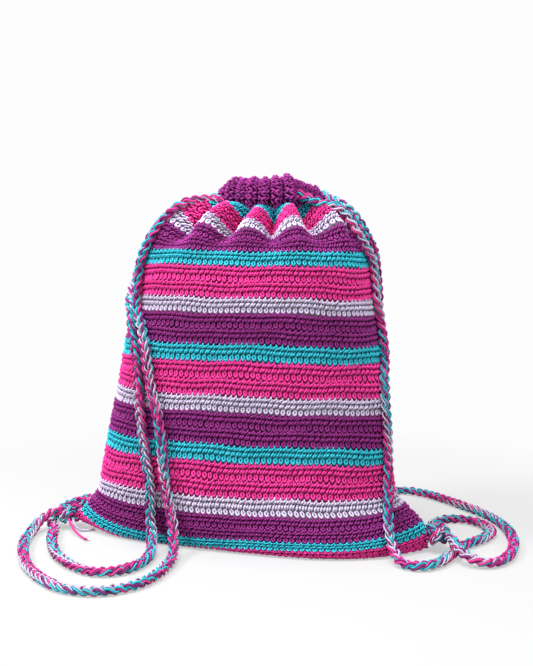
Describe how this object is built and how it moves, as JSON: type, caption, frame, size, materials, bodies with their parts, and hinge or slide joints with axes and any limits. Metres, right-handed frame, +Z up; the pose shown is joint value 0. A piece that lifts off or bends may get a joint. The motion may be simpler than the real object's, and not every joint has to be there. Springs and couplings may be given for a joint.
{
  "type": "drawstring bag",
  "caption": "Striped crocheted drawstring backpack, filled and standing, its folded hem gathered shut on two plaited cords that are knotted to the bottom corners.",
  "frame": {"origin": "middle of the bag's footprint, on the surface that it stands on, without the cords", "axes": "+X across the bag's width, towards its right corner seen from the front; -Y is the front; +Z up"},
  "size_m": [0.4999, 0.4128, 0.3719],
  "materials": {
    "crochet": "matte cotton yarn in bands of pink, turquoise, purple and pale lavender",
    "cord": "matte three-strand plait of pink, turquoise, purple and pale lavender yarn"
  },
  "bodies": {
    "root": {"bag_body": "crochet", "drawcord_left": "cord", "drawcord_right": "cord", "corner_knot_left": "cord", "corner_knot_right": "cord"}
  },
  "joints": []
}
